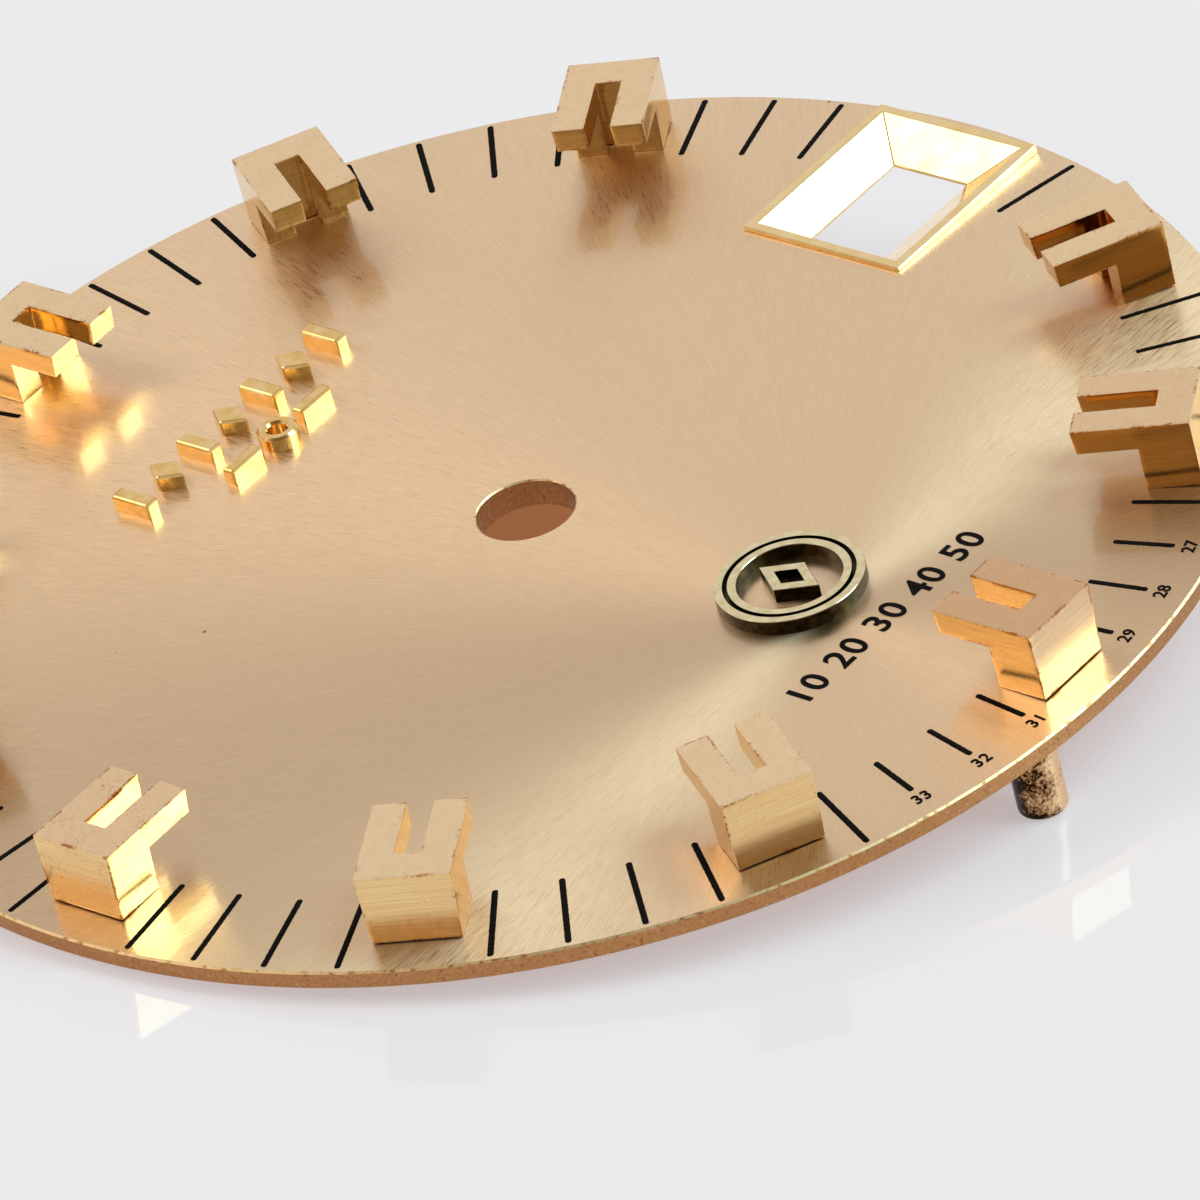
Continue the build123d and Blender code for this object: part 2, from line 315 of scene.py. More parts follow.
# %% [markdown]
# The face is brass that was brushed, plated with champagne gold and lacquered. The brush lines run
# out from a point near 6 o'clock, not from the middle of the dial. Each line is a tiny groove, so
# light spreads across the lines and hardly along them. The grooves could be modelled, but there are
# thousands. An anisotropic metal shader spreads light in the same way, when it is told at each
# place which way is across the lines. A real brush leaves both sharp and dull grooves, so the
# roughness changes from line to line: the sharp ones keep the mirror patches crisp, and the dull
# ones carry the wide fans.


# %% Helpers for tinted, dented and brushed metal
def tint_and_dent(tree, shader, pattern, tones, depth=0, strength=0.5):
    """Let a pattern choose the surface's colour from (value, hex) tones and dent it a little."""
    stops = [(value, linear(hex_colour)) for value, hex_colour in tones]
    tone = add_node(tree, "ShaderNodeValToRGB", {"Fac": pattern}, stops)
    set_sockets(shader, {"Base Color": tone})
    if depth:
        sockets = {"Height": pattern, "Distance": depth, "Strength": strength}
        set_sockets(shader, {"Normal": add_node(tree, "ShaderNodeBump", sockets)})
    return tone


def ray_coordinates(tree, place, centre):
    """Distance of a place from the ray centre in mm, and its direction from it."""
    away = add_node(tree, "ShaderNodeVectorMath", {0: place, 1: centre}, operation="SUBTRACT")
    sockets = {0: away, 1: (1 / mm, 1 / mm, 0)}
    flat = add_node(tree, "ShaderNodeVectorMath", sockets, operation="MULTIPLY")
    radius = add_node(tree, "ShaderNodeVectorMath", {0: flat}, operation="LENGTH")
    direction = add_node(tree, "ShaderNodeVectorMath", {0: flat}, operation="NORMALIZE")
    return radius.outputs["Value"], direction


def ray_noise(tree, radius, direction, lines_per_turn, line_length, detail):
    """Noise that is fine around the ray centre and long away from it."""
    sockets = {0: direction, "Scale": lines_per_turn / (2 * pi)}
    turned = add_node(tree, "ShaderNodeVectorMath", sockets, operation="SCALE")
    along = add_node(tree, "ShaderNodeMath", {0: radius, 1: line_length / mm}, operation="DIVIDE")
    lift = add_node(tree, "ShaderNodeCombineXYZ", {"Z": along})
    where = add_node(tree, "ShaderNodeVectorMath", {0: turned, 1: lift}, operation="ADD")
    sockets = {"Vector": where, "Scale": 1.0, "Detail": detail, "Roughness": 0.6}
    return add_node(tree, "ShaderNodeTexNoise", sockets)


print("metal helpers ready")

# %% Sunray brushed gold
ray_centre = Vector((-0.4 * mm, -7.8 * mm, 0))

# Lacquered gold plate over radial brushing: soft fans of light with fine glints, under a clear
# gloss. Real brush lines are about 0.005 mm wide, too fine to see here, so they are drawn 0.015 mm
# wide.
sunray, tree, shader, place = start_material(
    "sunray brushed champagne gold",
    Metallic=1.0,
    Anisotropic=0.815,
    Coat_Weight=1.0,
    Coat_Roughness=0.1,
)
radius, direction = ray_coordinates(tree, place, ray_centre)
fine = ray_noise(tree, radius, direction, lines_per_turn=4400, line_length=0.5 * mm, detail=3.0)
coarse = ray_noise(tree, radius, direction, lines_per_turn=1500, line_length=1.3 * mm, detail=2.0)
short = ray_noise(tree, radius, direction, lines_per_turn=4400, line_length=0.4 * mm, detail=2.0)
sockets = {0: (0, 0, 1), 1: direction}
across = add_node(tree, "ShaderNodeVectorMath", sockets, operation="CROSS_PRODUCT")
# Every brush line has a gloss of its own, and here and there a short stretch glints.
gloss = 0
for pattern, (start, end), (low_value, high_value) in (
    (fine, (0.4, 0.52), (0.32, 0.41)),
    (short, (0.5, 0.66), (0.0, -0.09)),
):
    sockets = {"Value": pattern, "From Min": start, "From Max": end}
    sockets |= {"To Min": low_value, "To Max": high_value}
    share = add_node(tree, "ShaderNodeMapRange", sockets, interpolation_type="SMOOTHSTEP")
    gloss = add_node(tree, "ShaderNodeMath", {0: gloss, 1: share}, operation="ADD")
lines = add_node(tree, "ShaderNodeMix", {"Factor": 0.22, 2: fine, 3: coarse}, data_type="FLOAT")
tones = [(0.3, "E2BF90"), (0.5, "EBC79A"), (0.7, "F4D1A6")]
tone = tint_and_dent(tree, shader, lines, tones, 0.0016 * mm, 1.0)
# A grain of dust every few millimetres.
sockets = {"Vector": place, "Scale": 1 / (2.2 * mm)}
specks = add_node(tree, "ShaderNodeTexVoronoi", sockets).outputs["Distance"]
stops = [(0.014, grey(1)), (0.022, grey(0))]
dust = add_node(tree, "ShaderNodeValToRGB", {"Fac": specks}, stops)
sockets = {"Factor": dust, 6: tone, 7: linear("7A5A38")}
dusty = add_node(tree, "ShaderNodeMix", sockets, data_type="RGBA").outputs[2]
set_sockets(shader, {"Tangent": across, "Roughness": gloss, "Base Color": dusty})
print("brush lines start", round(hypot(ray_centre.x, ray_centre.y) / mm, 2), "mm from the middle")

# %% [markdown]
# Where the plate was cut, its side shows bare metal: a warm, matt, slightly dirty brass with
# specks. The back has the round marks of turning, and the edge between face and side was broken
# with a polishing stick. One plain gold could serve for all three, but the eye tells a plated face
# from a cut edge at once, so each has its own metal.


# %% Helper for cloudy finishes
def cloudy_material(name, size, detail, tones, depth=0, strength=0.5, **surface):
    """A material whose colour and height vary in soft clouds of a given size."""
    material, tree, shader, place = start_material(name, **surface)
    sockets = {"Vector": place, "Scale": 1 / size, "Detail": detail}
    clouds = add_node(tree, "ShaderNodeTexNoise", sockets)
    tint_and_dent(tree, shader, clouds, tones, depth, strength)
    return material


print("cloudy finishes ready")

# %% Bare brass of the edge and the back
# Punched brass, left as cut: a dull warm band with dark specks, which frames the bright face.
edge_brass = cloudy_material(
    "cut brass edge",
    size=0.07 * mm,
    detail=3.0,
    tones=[(0.27, "80502E"), (0.36, "B37F4F"), (0.62, "C18B5B"), (0.75, "D6A878")],
    depth=0.002 * mm,
    Metallic=1.0,
    Roughness=0.38,
)

# Copper flash on the turned back: fine rings that gleam softly. Real rings are finer than these
# 0.1 mm.
turned_brass, tree, shader, place = start_material(
    "turned copper back", Metallic=1.0, Roughness=0.3
)
radius, _ = ray_coordinates(tree, place, (0, 0, 0))
sockets = {"W": radius, "Scale": 9.0, "Detail": 5.0}
rings = add_node(tree, "ShaderNodeTexNoise", sockets, noise_dimensions="1D")
tint_and_dent(tree, shader, rings, [(0.35, "BC8258"), (0.65, "D8A074")], 0.004 * mm)

# Gold plate on a broken edge, worn by handling: a thin light line around the face with small nicks.
polished_edge = cloudy_material(
    "polished gold edge",
    size=0.16 * mm,
    detail=4.0,
    tones=[(0.36, "B48A58"), (0.46, "E8C892"), (0.7, "F2D6A6")],
    depth=0.002 * mm,
    Metallic=1.0,
    Roughness=0.5,
)
print("edge and back ready")

# %% [markdown]
# The plate is turned: a half section spun about the axis, as on a lathe. A Screw modifier could do
# the spinning, but a few lines of code give control over every ring. The window and the holes for
# the markers' pins are cut out with a Boolean, as a press and a drill would. A lathe mesh has flat
# facets, which a bright finish would show, so each corner is given the exact normal of the real
# surface afterwards.

# %% Sizes of the date window and of the hour markers
frame_low, frame_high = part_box("date_window_frame")
frame_lip = 0.12 * mm
fit_clearance = 0.02 * mm
marker_low, marker_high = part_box("hour_marker_06")
marker_outer = -marker_low[1]
marker_tip = -marker_high[1]
marker_top = marker_high[2]
marker_pin_end = marker_low[2]
marker_half_width = marker_high[0]
marker_foot_length = 1.12 * mm
marker_slot_wall = 0.75 * mm
marker_pin_place = marker_outer - marker_slot_wall / 2
marker_pin_side = 0.5 * mm
marker_pin_radius = 0.14 * mm
marker_hours = [hour for hour in range(1, 13) if hour != 3]
print("marker length", round((marker_outer - marker_tip) / mm, 2), "mm")


# %% Helpers for places, pieces and meshes
def minute_angle(minute):
    """Angle from 3 o'clock of a place on the minute track, in degrees."""
    return 90 - 6 * minute


def around(degrees_from_three, radius, side=0):
    """Point at an angle and a radius, moved sideways along the rim."""
    out = Vector((cos(radians(degrees_from_three)), sin(radians(degrees_from_three)), 0))
    return out * radius + Vector((-out.y, out.x, 0)) * side


def new_piece(name, mesh, *nodes, slot=None):
    """Put a mesh in the scene as a piece of the dial that stands for some CAD nodes."""
    piece = put_in_scene(name, mesh)
    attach(piece, "root")
    if nodes:
        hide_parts(*nodes)
    return piece


def lathe(profile, steps, centre=(0, 0), closed=True):
    """Mesh data of a profile of (radius, height) points spun about an upright axis."""
    points = []
    for step in range(steps):
        angle = 2 * pi * step / steps
        for radius, height in profile:
            x, y = centre[0] + radius * cos(angle), centre[1] + radius * sin(angle)
            points.append((x, y, height))
    count = len(profile)
    faces = []
    for step in range(steps):
        after = (step + 1) % steps
        for i in range(count if closed else count - 1):
            j = (i + 1) % count
            faces.append((step * count + i, after * count + i, after * count + j, step * count + j))
    return points, faces


def mesh_from(name, points, faces):
    """Mesh with its normals turned outwards."""
    mesh = bpy.data.meshes.new(name)
    mesh.from_pydata([tuple(p) for p in points], [], faces)
    shape = bmesh.new()
    shape.from_mesh(mesh)
    bmesh.ops.remove_doubles(shape, verts=shape.verts, dist=0.0001 * mm)
    bmesh.ops.recalc_face_normals(shape, faces=shape.faces)
    shape.to_mesh(mesh)
    shape.free()
    return mesh


def add_pin(shape, radius, length, middle):
    """Add an upright round pin to a shape in the making."""
    bmesh.ops.create_cone(
        shape,
        cap_ends=True,
        segments=24,
        radius1=radius,
        radius2=radius,
        depth=length,
        matrix=Matrix.Translation(middle),
    )


def evaluated_mesh(thing):
    """Plain mesh of an object with its modifiers, or of a text."""
    depsgraph = bpy.context.evaluated_depsgraph_get()
    return bpy.data.meshes.new_from_object(thing.evaluated_get(depsgraph))


def apply_modifiers(piece):
    """Turn a piece's modifiers into plain mesh."""
    mesh = evaluated_mesh(piece)
    piece.modifiers.clear()
    piece.data = mesh


def smooth(mesh, *materials, sharp=None):
    """Give a mesh materials and smooth shading, with creases above an angle in degrees."""
    for material in materials:
        mesh.materials.append(material)
    mesh.shade_smooth()
    if sharp:
        mesh.set_sharp_from_angle(angle=radians(sharp))


print("lathe and mesh helpers ready")

# %% Plate
chamfer = 0.04 * mm
back_chamfer = 0.03 * mm
hole_chamfer = 0.03 * mm
face_edge = dial_radius - chamfer
hole_edge = hole_radius + hole_chamfer
rings_on_face = 30
steps_around = 360
through = 4 * mm
profile = [
    (hole_radius, face_height(hole_radius) - hole_chamfer),
    (hole_radius, 0),
    (dial_radius - back_chamfer, 0),
    (dial_radius, back_chamfer),
    (dial_radius, rim_thickness - chamfer),
]
for ring in range(rings_on_face + 1):
    radius = face_edge + (hole_edge - face_edge) * ring / rings_on_face
    profile.append((radius, face_height(radius)))
plate_mesh = mesh_from("dial plate", *lathe(profile, steps_around))

cutter = bmesh.new()
window_centre = (frame_low[0] + frame_high[0]) / 2
frame_length = frame_high[0] - frame_low[0]
frame_width = frame_high[1] - frame_low[1]
lip_inside = 2 * frame_lip - 2 * fit_clearance
window_size = (frame_length - lip_inside, frame_width - lip_inside, through)
window_block = Matrix.Translation((window_centre, 0, 0)) @ Matrix.Diagonal((*window_size, 1))
bmesh.ops.create_cube(cutter, size=1, matrix=window_block)
for hour in marker_hours:
    for side in (-marker_pin_side, marker_pin_side):
        pin_place = around(minute_angle(5 * hour), marker_pin_place, side)
        add_pin(cutter, marker_pin_radius + fit_clearance, through, pin_place)
cutter_mesh = bpy.data.meshes.new("cutter")
cutter.to_mesh(cutter_mesh)
cutter.free()
cutter_object = put_in_scene("cutter", cutter_mesh)

plate = new_piece("dial_plate_brushed", plate_mesh, "dial_plate", slot="sunray_face")
cut = plate.modifiers.new("window and pin holes", "BOOLEAN")
cut.operation = "DIFFERENCE"
cut.solver = "EXACT"
cut.object = cutter_object
apply_modifiers(plate)
bpy.data.objects.remove(cutter_object)
print("plate", len(plate.data.polygons), "faces")

# %% Exact normals and finishes of the plate
level_enough = 0.95
upward_enough = 0.3
near_rim = 0.06 * mm
near_hole = 0.05 * mm


def face_normal(x, y):
    """Direction in which the domed face looks at a place on the dial."""
    return Vector((x, y, sqrt(ball_radius**2 - x**2 - y**2))) / ball_radius


def true_normal(point, face_direction):
    """Normal of the real surface of the plate at a mesh corner."""
    out = hypot(point.x, point.y)
    if face_direction.z > level_enough:
        return face_normal(point.x, point.y)
    on_round = abs(out - dial_radius) < near_rim or abs(out - hole_radius) < near_hole
    if abs(face_direction.z) > level_enough or not on_round:
        return face_direction
    level = sqrt(max(0, 1 - face_direction.z**2))
    sign = 1 if face_direction.x * point.x + face_direction.y * point.y > 0 else -1
    return Vector((sign * point.x / out * level, sign * point.y / out * level, face_direction.z))


mesh = plate.data
mesh.materials.clear()
smooth(mesh, sunray, edge_brass, turned_brass, polished_edge)
normals = []
for face in mesh.polygons:
    if face.normal.z > level_enough:
        face.material_index = 0
    elif face.normal.z < -level_enough:
        face.material_index = 2
    elif face.normal.z > upward_enough:
        face.material_index = 3
    else:
        face.material_index = 1
    for index in face.loop_indices:
        corner = mesh.vertices[mesh.loops[index].vertex_index].co
        normals.append(true_normal(corner, face.normal))
mesh.normals_split_custom_set(normals)
print("normals set on", len(normals), "corners")

# %% [markdown]
# The markers are cut from gilt brass bar. Each one is a fork: a block at the rim and two prongs
# that stand clear of the face and point to the middle. The top is finely matt, the sides are smooth
# and mirror their surroundings, and the outer end has level scratches. Wear and little pits follow
# the edges. They could be painted by hand. Here the mesh carries an `edge` value that is 1 on an
# edge and falls off beside it, and one function makes the three finishes from it with different
# numbers.


# %% Gilt brass of the markers
def gilt(
    name, roughness, anisotropic, tones, darkening_and_shade_tint, line_size, line_stretch, pit_amount, depth
):
    """Gilt brass with level fine lines, dark pits along edges, and a darker tone, partly painted
    shade.
    """
    material, tree, shader, place = start_material(
        name, Metallic=1.0, Roughness=roughness, Anisotropic=anisotropic
    )
    if anisotropic:
        upright = add_node(tree, "ShaderNodeCombineXYZ", {"Z": 1.0})
        set_sockets(shader, {"Tangent": upright})
    scale = (1 / line_stretch, 1 / line_stretch, 1 / line_size)
    stretched = add_node(tree, "ShaderNodeMapping", {"Vector": place, "Scale": scale})
    noises = []
    for where, size, detail in (
        (stretched, 1, 4.0),
        (place, 0.07 * mm, 4.0),
        (place, 0.55 * mm, 1.0),
    ):
        sockets = {"Vector": where, "Scale": 1 / size, "Detail": detail}
        noises.append(add_node(tree, "ShaderNodeTexNoise", sockets))
    lines, spots, patches = noises
    tone = tint_and_dent(tree, shader, lines, zip((0.3, 0.5, 0.7), tones), depth, 1.0)
    # Some faces are darkened per marker: painted shade on the sides and outer ends, a darker,
    # redder tone on the tops.
    darkening_and_painted_shade = add_node(tree, "ShaderNodeAttribute", attribute_name="darkening_and_painted_shade").outputs["Fac"]
    sockets = {"Factor": darkening_and_painted_shade, 6: tone, 7: linear(darkening_and_shade_tint)}
    darkened_and_shaded = add_node(tree, "ShaderNodeMix", sockets, data_type="RGBA", blend_type="MULTIPLY")
    # The wear comes in patches along the edges, and the pits sit where the spots peak in them.
    sockets = {"Value": patches, "From Min": 0.46, "From Max": 0.64, "To Min": 0.08, "To Max": 0.36}
    handled = add_node(tree, "ShaderNodeMapRange", sockets)
    edge = add_node(tree, "ShaderNodeAttribute", attribute_name="edge").outputs["Fac"]
    sockets = {0: edge, 1: handled, 2: spots}
    worn = add_node(tree, "ShaderNodeMath", sockets, operation="MULTIPLY_ADD")
    steps = ((-0.15, 0), (0, 0.14), (0.1, 0.6), (0.2, 1))
    stops = [(pit_amount + step, grey(level)) for step, level in steps]
    pits = add_node(tree, "ShaderNodeValToRGB", {"Fac": worn}, stops)
    sockets = {"Factor": pits, 6: darkened_and_shaded.outputs[2], 7: linear("B0723A")}
    coloured = add_node(tree, "ShaderNodeMix", sockets, data_type="RGBA").outputs[2]
    set_sockets(shader, {"Base Color": coloured})
    return material


print("gilt brass ready")

# %% Three finishes of the markers
# Three finishes of the same bar: a lapped satin top that glows evenly, smooth sides that mirror the
# face, and a filed outer end. Real file scratches are about 0.01 mm apart and are drawn at 0.02 mm.
# On some markers the top is duller and redder, the sides are a deeper gold and the outer end is
# paler and greyer. On the sides and the outer end this is painted shade, which dims their mirror
# images of the lamps and the face.
marker_top_gold = gilt(
    "gilt brass satin top",
    roughness=0.42,
    anisotropic=0.0,
    tones=("F0CFA4", "F2D2A7", "F4D5AA"),
    darkening_and_shade_tint="ECDBD3",
    line_size=0.2 * mm,
    line_stretch=0.2 * mm,
    pit_amount=0.72,
    depth=0.0003 * mm,
)
marker_side_gold = gilt(
    "gilt brass smooth side",
    roughness=0.15,
    anisotropic=0.5,
    tones=("E4BB78", "EEC788", "F7D69C"),
    darkening_and_shade_tint="E6CF9C",
    line_size=0.03 * mm,
    line_stretch=0.7 * mm,
    pit_amount=0.7,
    depth=0.0006 * mm,
)
marker_outer_gold = gilt(
    "gilt brass brushed end",
    roughness=0.2,
    anisotropic=0.7,
    tones=("EAC284", "F3CD90", "F9DAA0"),
    darkening_and_shade_tint="EEEAFF",
    line_size=0.022 * mm,
    line_stretch=1.4 * mm,
    pit_amount=0.72,
    depth=0.0006 * mm,
)
print("marker finishes ready")

# %% [markdown]
# A fork is easy to describe as a few blocks of a coarse grid that are filled, like a tiny building.
# It could also be cut with Booleans, but their faces are long and thin, and the edge wear needs
# many evenly spread points. So the grid lines are the real steps of the part, divided finely, and
# only the outer skin of the filled blocks is kept.

# %% Grid of a fork
marker_seat = face_height(marker_outer - marker_foot_length)
marker_height = marker_top - marker_seat
prong_clearance = 0.97 * mm
tip_rake = 0.05 * mm
base_half_width = 0.895 * mm
slot_half_width = 0.27 * mm
grain = 0.07 * mm


def divided(stops):
    """Grid lines between the stops, about one grain apart, and the block number of each cell."""
    values, blocks = [stops[0]], []
    for block, (start, end) in enumerate(zip(stops, stops[1:])):
        parts = max(1, ceil((end - start) / grain))
        for part in range(parts):
            values.append(start + (end - start) * (part + 1) / parts)
            blocks.append(block)
    return values, blocks


lengths, length_blocks = divided(
    [marker_tip, marker_outer - marker_foot_length, marker_outer - marker_slot_wall, marker_outer]
)
widths, width_blocks = divided(
    [-marker_half_width, -slot_half_width, slot_half_width, marker_half_width]
)
heights, height_blocks = divided([0, prong_clearance, marker_height])
print("grid of", len(lengths), "x", len(widths), "x", len(heights), "points")


# %% Outer skin of a fork
def is_metal(i, j, k):
    """True where a cell of the grid is inside the fork."""
    counts = (len(length_blocks), len(width_blocks), len(height_blocks))
    if not all(0 <= index < count for index, count in zip((i, j, k), counts)):
        return False
    part, across_part, level = length_blocks[i], width_blocks[j], height_blocks[k]
    if part == 0 and level == 0:
        return False
    return part == 2 or across_part != 1


def grid_point(i, j, k):
    """Point of the fork in its own axes: out, sideways, up. The sides lean in towards the seat."""
    up_share = heights[k] / marker_height
    lean = base_half_width + (marker_half_width - base_half_width) * up_share
    side = widths[j]
    if abs(side) > slot_half_width:
        room = (abs(side) - slot_half_width) / (marker_half_width - slot_half_width)
        side = (1 if side > 0 else -1) * (slot_half_width + room * (lean - slot_half_width))
    reach = lengths[i]
    above = max(0, heights[k] - prong_clearance) / (marker_height - prong_clearance)
    near_tip = max(0, 1 - (reach - marker_tip) / marker_foot_length)
    return reach + tip_rake * (1 - above) * near_tip, side, heights[k]


def fork_skin():
    """Points and outer faces of a fork. Each face has its finish: top 0, side 1, outer end 2."""
    points, numbers, faces = [], {}, []
    corners_of = {
        (1, 0, 0): ((1, 0, 0), (1, 1, 0), (1, 1, 1), (1, 0, 1)),
        (-1, 0, 0): ((0, 0, 0), (0, 0, 1), (0, 1, 1), (0, 1, 0)),
        (0, 1, 0): ((0, 1, 0), (0, 1, 1), (1, 1, 1), (1, 1, 0)),
        (0, -1, 0): ((0, 0, 0), (1, 0, 0), (1, 0, 1), (0, 0, 1)),
        (0, 0, 1): ((0, 0, 1), (1, 0, 1), (1, 1, 1), (0, 1, 1)),
        (0, 0, -1): ((0, 0, 0), (0, 1, 0), (1, 1, 0), (1, 0, 0)),
    }
    cells = product(range(len(length_blocks)), range(len(width_blocks)), range(len(height_blocks)))
    for (i, j, k), ((di, dj, dk), corner_set) in product(cells, corners_of.items()):
        if not is_metal(i, j, k) or is_metal(i + di, j + dj, k + dk):
            continue
        face = []
        for a, b, c in corner_set:
            key = (i + a, j + b, k + c)
            if key not in numbers:
                numbers[key] = len(points)
                points.append(grid_point(*key))
            face.append(numbers[key])
        faces.append((face, 0 if dk == 1 else 2 if di == 1 else 1))
    return points, faces


fork_points, fork_faces = fork_skin()
print("a fork has", len(fork_points), "points")

# %% Build the eleven markers
# Markers differ: how worn the edges are, how pitted the faces are, and how much darker the top, the
# sides and the outer end are. The darker sides and outer ends are painted shade on their mirror
# images.
ridge_wear = {6: 1.5, 9: 1.5}
pitting = {6: 0.18, 9: 0.34}
darkening_and_shade_shares = {4: (0, 0.9, 0), 5: (0.3, 0.6, 0), 6: (1, 0, 1), 8: (0, 1, 0), 9: (0.25, 0, 0)}
usual_pitting = 0.08
pitting_beside_edge = 0.25
edge_radius = 0.012 * mm
dent_depth = 0.005 * mm
dent_size = 0.16 * mm


def build_marker(hour):
    """One marker at its hour, with its pins, its edge wear and slightly uneven edges."""
    shape = bmesh.new()
    verts = [shape.verts.new(p) for p in fork_points]
    for face, finish in fork_faces:
        shape.faces.new([verts[i] for i in face]).material_index = finish
    shape.normal_update()
    bmesh.ops.bevel(
        shape,
        geom=[e for e in shape.edges if e.calc_face_angle(0) > radians(35)],
        offset=edge_radius,
        segments=2,
        affect="EDGES",
        profile=0.6,
        clamp_overlap=True,
    )
    layer = shape.verts.layers.float.new("edge")
    shape.normal_update()
    for v in shape.verts:
        if any(e.calc_face_angle(0) > radians(12) for e in v.link_edges):
            v[layer] = ridge_wear.get(hour, 1)
    pitted = pitting.get(hour, usual_pitting)
    for v in shape.verts:
        if v[layer] < 1:
            beside_edge = any(e.other_vert(v)[layer] >= 1 for e in v.link_edges)
            v[layer] = max(pitted, pitting_beside_edge) if beside_edge else pitted
        else:
            where = Vector((v.co.x, v.co.y + hour * 10 * mm, v.co.z))
            v.co -= v.normal * dent_depth * (0.5 + noise.noise(where / dent_size))
    pin_length = marker_seat - marker_pin_end
    for side in (-marker_pin_side, marker_pin_side):
        add_pin(shape, marker_pin_radius, pin_length, (marker_pin_place, side, -pin_length / 2))
    turned = Matrix.Rotation(radians(minute_angle(5 * hour)), 4, "Z")
    placed = Matrix.Translation((0, 0, marker_seat)) @ turned
    bmesh.ops.transform(shape, matrix=placed, verts=shape.verts)
    name = f"fork_marker_{hour:02d}"
    mesh = bpy.data.meshes.new(name)
    shape.to_mesh(mesh)
    shape.free()
    darkening_and_painted_shade = mesh.attributes.new("darkening_and_painted_shade", "FLOAT", "FACE")
    shares = darkening_and_shade_shares.get(hour, (0, 0, 0))
    darkening_and_painted_shade.data.foreach_set("value", [shares[face.material_index] for face in mesh.polygons])
    smooth(mesh, marker_top_gold, marker_side_gold, marker_outer_gold, sharp=28)
    new_piece(name, mesh, f"hour_marker_{hour:02d}", slot="marker_gold")


for hour in marker_hours:
    build_marker(hour)
print(len(marker_hours), "markers")

# %% [markdown]
# The date window has a polished gilt frame: a narrow flat rim and four wide bevels that lead the
# eye down to the date. Real ones are stamped and then cut with a diamond, so the bevels are true
# mirrors. The frame is built as loops of four corners, from the rim's outer foot over the rim and
# down the bevels to the aperture and the back, joined by faces. An extruded and inset cube would
# do, but loops put each corner exactly where the size says.

# %% Date window frame
# Diamond-cut gilt brass: each bevel is one clean mirror, white towards a lamp and deep gold
# elsewhere.
polished_gold = cloudy_material(
    "polished gilt brass",
    size=0.6 * mm,
    detail=5.0,
    tones=[(0.35, "F0CE8E"), (0.65, "F8DCA6")],
    depth=0.003 * mm,
    strength=0.4,
    Metallic=1.0,
    Roughness=0.09,
)


def round_edges(piece, width, segments, angle):
    """Round the edges of a piece that are sharper than an angle in degrees."""
    rounding = piece.modifiers.new("rounding", "BEVEL")
    rounding.width = width
    rounding.segments = segments
    rounding.limit_method = "ANGLE"
    rounding.angle_limit = radians(angle)
    apply_modifiers(piece)


def rectangle(centre, length, width, height, on_face=False):
    """Four corners of a rectangle at a height, or on the domed face."""
    places = [(centre + a * length / 2, b * width / 2) for a, b in square]
    return [(x, y, face_height(x, y) if on_face else height) for x, y in places]


def loops_to_mesh(name, loops, closed=False):
    """Mesh through loops of equal length, each joined to the next."""
    count = len(loops[0])
    points = [p for loop in loops for p in loop]
    faces = []
    for row in range(len(loops) if closed else len(loops) - 1):
        after = (row + 1) % len(loops)
        for i in range(count):
            j = (i + 1) % count
            faces.append((row * count + i, row * count + j, after * count + j, after * count + i))
    return mesh_from(name, points, faces)


frame_top = frame_high[2]
frame_rim = 0.2 * mm
aperture_length = 2.75 * mm
aperture_width = 1.9 * mm
aperture_centre = window_centre - 0.175 * mm
aperture_land = 0.06 * mm
outside = (window_centre, frame_length, frame_width)
inside_rim = (window_centre, frame_length - 2 * frame_rim, frame_width - 2 * frame_rim)
aperture = (aperture_centre, aperture_length, aperture_width)
body = (window_centre, frame_length - 2 * frame_lip, frame_width - 2 * frame_lip)
frame_mesh = loops_to_mesh(
    "date window frame",
    [
        rectangle(*outside, 0, on_face=True),
        rectangle(*outside, frame_top),
        rectangle(*inside_rim, frame_top),
        rectangle(*aperture, aperture_land),
        rectangle(*aperture, 0),
        rectangle(*body, 0),
        rectangle(*body, 0, on_face=True),
    ],
    closed=True,
)
frame_mesh.materials.append(polished_gold)
date_frame = new_piece("date_frame_polished", frame_mesh, "date_window_frame", slot="frame_gold")
round_edges(date_frame, 0.02 * mm, segments=3, angle=15)
smooth(date_frame.data, sharp=4)
print("date frame", len(date_frame.data.polygons), "faces")

# %% [markdown]
# Two small applied ornaments decorate the face. They are plain shapes: bars, lozenges and rings
# with bright tops. Each is a low prism with a broken edge, set on the dome. Flat decals would look
# the same from straight above, but at this low angle their sides catch the light, so they are real
# bodies.

# %% Upper ornament
# Stamped and gilt brass: small bright yellow bodies with soft edges.
ornament_gold = cloudy_material(
    "gilt brass ornament",
    size=0.25 * mm,
    detail=4.0,
    tones=[(0.35, "EBBE72"), (0.65, "F4D091")],
    depth=0.004 * mm,
    Metallic=1.0,
    Roughness=0.18,
)
lozenge_shape = [(0, -1), (1, 0), (0, 1), (-1, 0)]
seat_depth = 0.004 * mm


def middle_of(node):
    """Middle, half sizes and top of a node's box."""
    low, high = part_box(node)
    x, y, _ = (low + high) / 2
    half_width, half_length, _ = (high - low) / 2
    return x, y, half_width, half_length, high[2]


